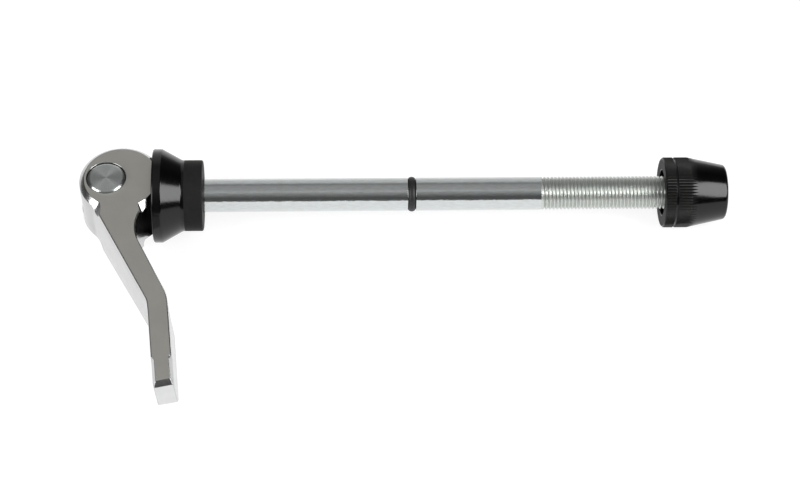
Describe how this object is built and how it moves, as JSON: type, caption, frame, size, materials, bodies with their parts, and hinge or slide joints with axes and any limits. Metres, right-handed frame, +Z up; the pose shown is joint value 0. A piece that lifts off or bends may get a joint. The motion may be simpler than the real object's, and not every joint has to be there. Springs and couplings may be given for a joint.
{
  "type": "quick release skewer",
  "caption": "Quick release skewer with a forked cam lever, a sliding cup, a thick threaded rod and a toothed cone nut, which clamps a wheel hub between two fork ends.",
  "frame": {"origin": "centre of the cup's clamp face, on the rod's axis", "axes": "+X along the rod towards the nut, +Z up from the surface that the skewer lies on; the closed lever points to -Y and dips to that surface"},
  "size_m": [0.1738, 0.0767, 0.0252],
  "materials": {
    "plated_steel": "bright zinc plate",
    "turned_steel": "turned, fine rings",
    "rubber": "plain",
    "black_aluminium": "black anodised, glossy",
    "satin_aluminium": "satin with polished flanks",
    "plastic": "plain"
  },
  "bodies": {
    "rod": {"rod": "plated_steel", "pivot_pin": "turned_steel", "rubber_ring": "rubber"},
    "lever": {"lever": "satin_aluminium"},
    "cup": {"cup": "black_aluminium"},
    "nut_carrier": {"lock_ring": "plastic"},
    "nut": {"nut": "black_aluminium"}
  },
  "joints": [
    {"name": "lever_swing", "type": "hinge", "parent": "rod", "child": "lever", "pos_m": [-0.0255, 0, 0], "axis": [0, 0.1152, -0.9933], "range_deg": [0, 180]},
    {"name": "cup_slide", "type": "slide", "parent": "rod", "child": "cup", "axis": [1, 0, 0], "range_m": [0, 0.055]},
    {"name": "nut_travel", "type": "slide", "parent": "rod", "child": "nut_carrier", "axis": [1, 0, 0], "range_m": [-0.03501, 0.00801]},
    {"name": "nut_turn", "type": "hinge", "parent": "nut_carrier", "child": "nut", "pos_m": [0.124, 0, 0], "axis": [1, 0, 0], "range_deg": [-12600, 2880]}
  ],
  "couplings": [
    {"joint": "nut_travel", "follows": "nut_turn", "m_per_rad": 0.00015915}
  ]
}
